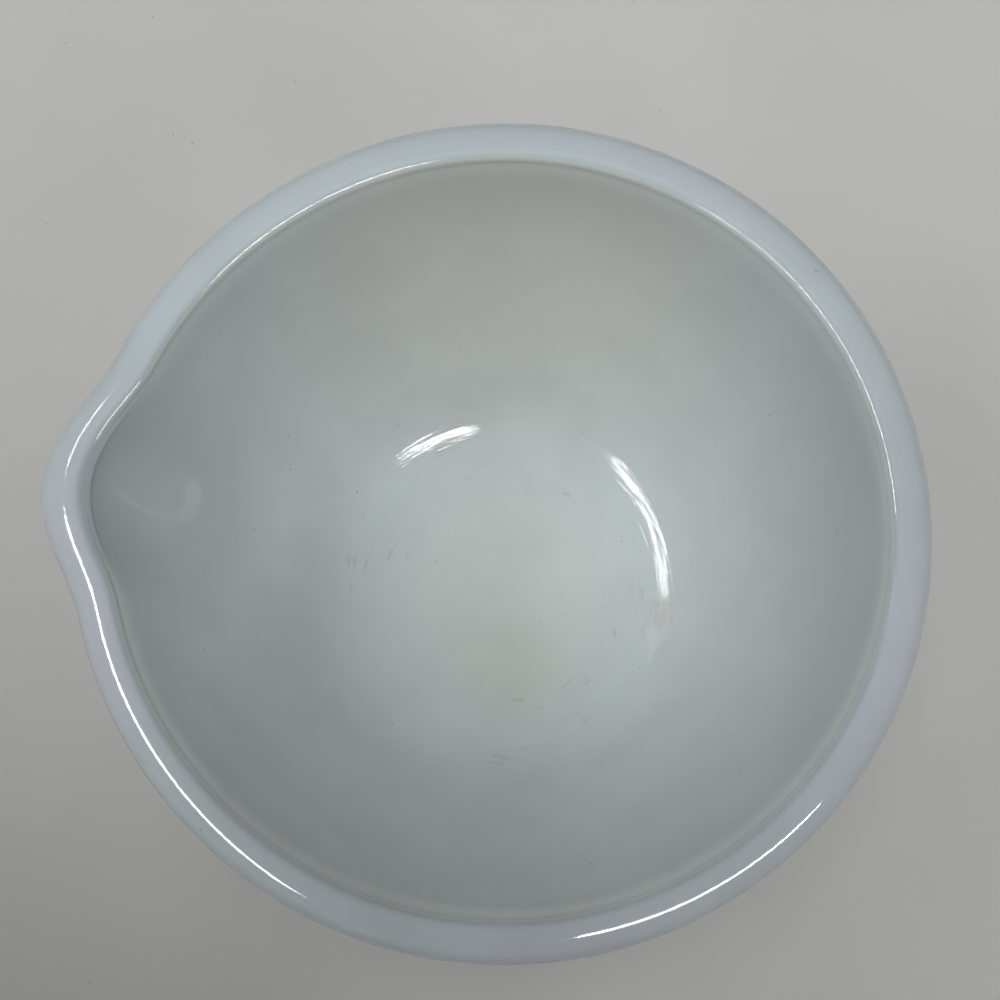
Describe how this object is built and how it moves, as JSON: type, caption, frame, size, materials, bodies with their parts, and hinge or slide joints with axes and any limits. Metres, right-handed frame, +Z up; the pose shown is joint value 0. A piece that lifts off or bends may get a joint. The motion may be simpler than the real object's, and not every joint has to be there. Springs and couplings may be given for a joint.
{
  "type": "mixing bowl",
  "caption": "Round white milk glass mixing bowl with curved sides, a thick rounded collar, a narrow ledge inside the mouth, one pouring lip and a low foot ring.",
  "frame": {"origin": "on the bowl's axis, in the plane that the underside of the foot ring stands on", "axes": "+Z up along the bowl's axis; the pouring lip points along -X; +Y completes the right-handed frame"},
  "size_m": [0.2466, 0.2342, 0.121],
  "materials": {
    "milk_glass": "gloss"
  },
  "bodies": {
    "root": {"foot_ring": "milk_glass", "floor_disc": "milk_glass", "heel_ring": "milk_glass", "lower_wall": "milk_glass", "upper_wall": "milk_glass", "rim_collar": "milk_glass", "pouring_lip": "milk_glass"}
  },
  "joints": []
}
